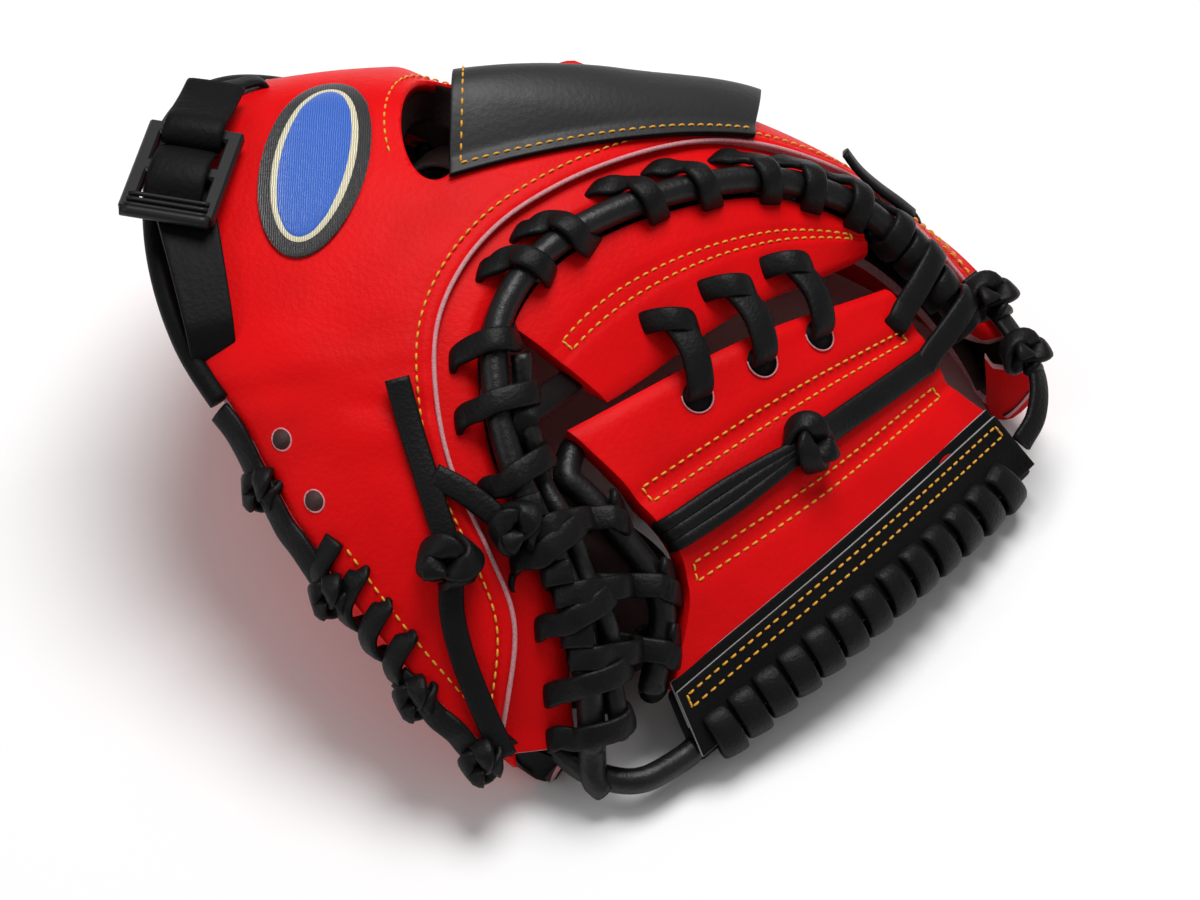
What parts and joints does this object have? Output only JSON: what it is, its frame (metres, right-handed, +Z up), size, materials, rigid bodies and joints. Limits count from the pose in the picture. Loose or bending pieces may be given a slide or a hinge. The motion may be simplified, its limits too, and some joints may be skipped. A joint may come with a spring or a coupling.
{
  "type": "baseball catchers mitt",
  "caption": "Padded leather catcher's mitt for the left hand with laced web, ball pocket, index-finger stall and buckled wrist strap; thumb side folds to close on a ball.",
  "frame": {"origin": "on the surface that the rim rests on, under the middle of the mitt's box", "axes": "+X to the thumb side, +Y to the fingertips, +Z up out of the back of the hand; the pocket faces -Z"},
  "size_m": [0.2306, 0.2504, 0.1158],
  "materials": {
    "red_leather": "satin, lightly waxed",
    "black_leather": "satin",
    "lining_leather": "matt",
    "felt_padding": "wool felt",
    "black_plastic": "moulded",
    "patch_cloth": "embroidered"
  },
  "bodies": {
    "finger_half": {"back_shell_finger": "red_leather", "crotch_band_finger": "red_leather", "catching_face_finger": "red_leather", "crotch_roll_finger": "black_leather", "crotch_lace_finger": "black_leather", "thumb_heel_pad": "felt_padding", "little_finger_heel_pad": "felt_padding", "finger_pad": "felt_padding", "palm_lining": "lining_leather", "wrist_pad": "felt_padding", "little_finger_loop": "lining_leather", "index_finger_stall": "black_leather", "wrist_binding": "black_leather", "rim_lace_finger": "black_leather", "emblem_patch": "patch_cloth", "buckle_tab": "black_leather", "web_inner_panel": "red_leather", "back_crease": "red_leather", "pocket_crease": "red_leather", "web_finger_lace": "black_leather", "web_cross_lace_1": "black_leather", "web_cross_lace_2": "black_leather", "web_cross_lace_3": "black_leather"},
    "thumb_half": {"back_shell_thumb": "red_leather", "crotch_band_thumb": "red_leather", "catching_face_thumb": "red_leather", "crotch_roll_thumb": "black_leather", "crotch_lace_thumb": "black_leather", "thumb_pad": "felt_padding", "thumb_loop": "lining_leather", "rim_lace_thumb": "black_leather", "thumb_tie_knot": "black_leather", "thumb_tie_lace": "black_leather", "web_thumb_strap_1": "black_leather", "web_thumb_strap_2": "black_leather", "web_thumb_strap_3": "black_leather", "thumb_tip_loop": "black_leather"},
    "web": {"web_main_panel": "red_leather", "web_edge_binding": "black_leather", "web_edge_lace": "black_leather", "web_centre_lace": "black_leather", "web_centre_knot": "black_leather", "web_thumb_roll": "black_leather"},
    "buckle": {"buckle": "black_plastic"},
    "strap": {"wrist_strap": "black_leather"}
  },
  "joints": [
    {"name": "mitt_close", "type": "hinge", "parent": "finger_half", "child": "thumb_half", "pos_m": [0.03381, 0.00173, 0.055], "axis": [0, 1, 0], "range_deg": [-8, 35], "stiffness_Nm_per_rad": 2.5, "deforming": ["back_crease", "pocket_crease", "web_thumb_strap_1", "web_thumb_strap_2", "web_thumb_strap_3", "thumb_tip_loop"]},
    {"name": "web_fold", "type": "hinge", "parent": "finger_half", "child": "web", "pos_m": [-0.02619, 0.08973, 0.042], "axis": [0.5591, 0.8291, 0], "range_deg": [-3, 10.5], "stiffness_Nm_per_rad": 1, "deforming": ["web_finger_lace", "web_cross_lace_1", "web_cross_lace_2", "web_cross_lace_3"]},
    {"name": "buckle_tilt", "type": "hinge", "parent": "finger_half", "child": "buckle", "pos_m": [-0.04188, -0.10636, 0.10032], "axis": [-0.2079, -0.9781, 0], "range_deg": [0, 25]},
    {"name": "strap_feed", "type": "hinge", "parent": "finger_half", "child": "strap", "pos_m": [-0.02619, -0.10927, -0.00302], "axis": [-0.2756, 0.9613, 0], "range_deg": [-2.2, 2.2]}
  ],
  "couplings": [
    {"joint": "web_fold", "follows": "mitt_close", "ratio": 0.28}
  ]
}
